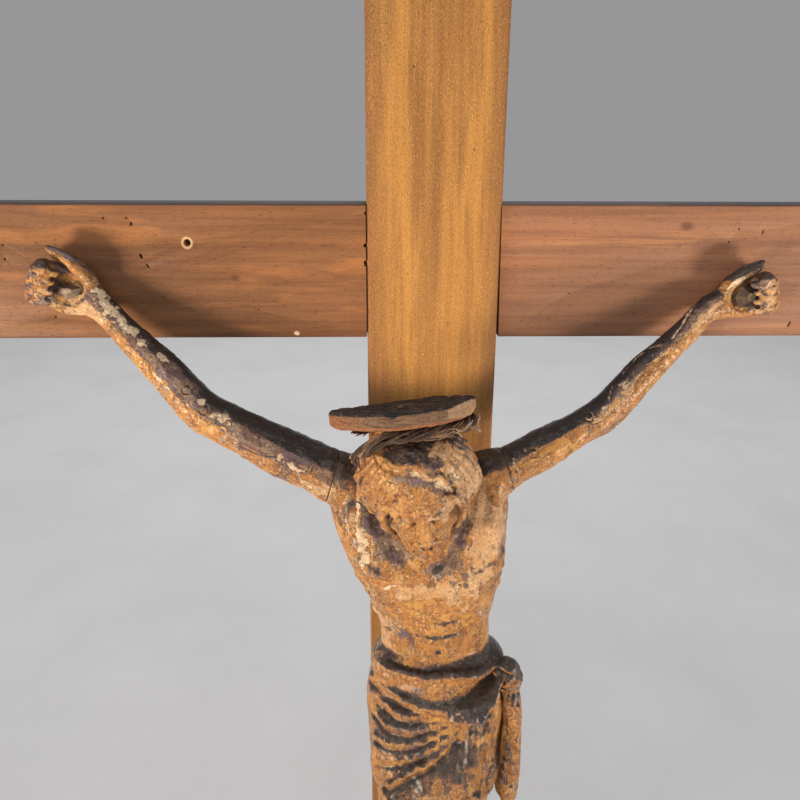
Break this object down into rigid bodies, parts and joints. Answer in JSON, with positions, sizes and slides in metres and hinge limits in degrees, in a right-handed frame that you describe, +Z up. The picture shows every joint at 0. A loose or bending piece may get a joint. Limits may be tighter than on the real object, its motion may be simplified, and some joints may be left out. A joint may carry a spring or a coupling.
{
  "type": "crucifix",
  "caption": "Wall crucifix: a carved, once painted wooden figure with a disc halo and a twisted crown, nailed to a cross of two lap-jointed boards, with a swinging hanger ring behind.",
  "frame": {"origin": "on the wall plane, on the crossbar's flat back behind the centre of the crossing", "axes": "+Z up along the upright, +Y out of the boards' back towards the wall, +X to the right of someone who faces the figure"},
  "size_m": [0.36, 0.0936, 0.56],
  "materials": {
    "upright_wood": "oiled open-pored hardwood, golden brown",
    "crossbar_wood": "oiled open-pored hardwood, reddish brown",
    "polychrome": "worn gesso, paint and gilding over carved wood",
    "halo_wood": "dark weathered wood",
    "withy": "split withy, bark brown",
    "dowel_wood": "plain beech, glued",
    "forged_iron": "forged and rusted",
    "screw_brass": "dull",
    "hanger_brass": "tarnished"
  },
  "bodies": {
    "cross": {"upright": "upright_wood", "crossbar": "crossbar_wood", "lap_screw_1": "screw_brass", "lap_screw_2": "screw_brass", "body_screw": "screw_brass", "body": "polychrome", "loincloth_end": "polychrome", "head": "polychrome", "neck_dowel": "dowel_wood", "right_arm": "polychrome", "left_arm": "polychrome", "right_shoulder_dowel": "dowel_wood", "left_shoulder_dowel": "dowel_wood", "halo": "halo_wood", "halo_pin": "forged_iron", "crown_withy_1": "withy", "crown_withy_2": "withy", "crown_withy_3": "withy", "nail_right_hand": "forged_iron", "nail_left_hand": "forged_iron", "nail_feet": "forged_iron", "hanger_strap": "hanger_brass", "hanger_screw": "screw_brass"},
    "ring": {"hanger_ring": "hanger_brass"}
  },
  "joints": [
    {"name": "ring_swing", "type": "hinge", "parent": "cross", "child": "ring", "pos_m": [0, 0.0027, 0.094], "axis": [1, 0, 0], "range_deg": [-3, 183]}
  ]
}
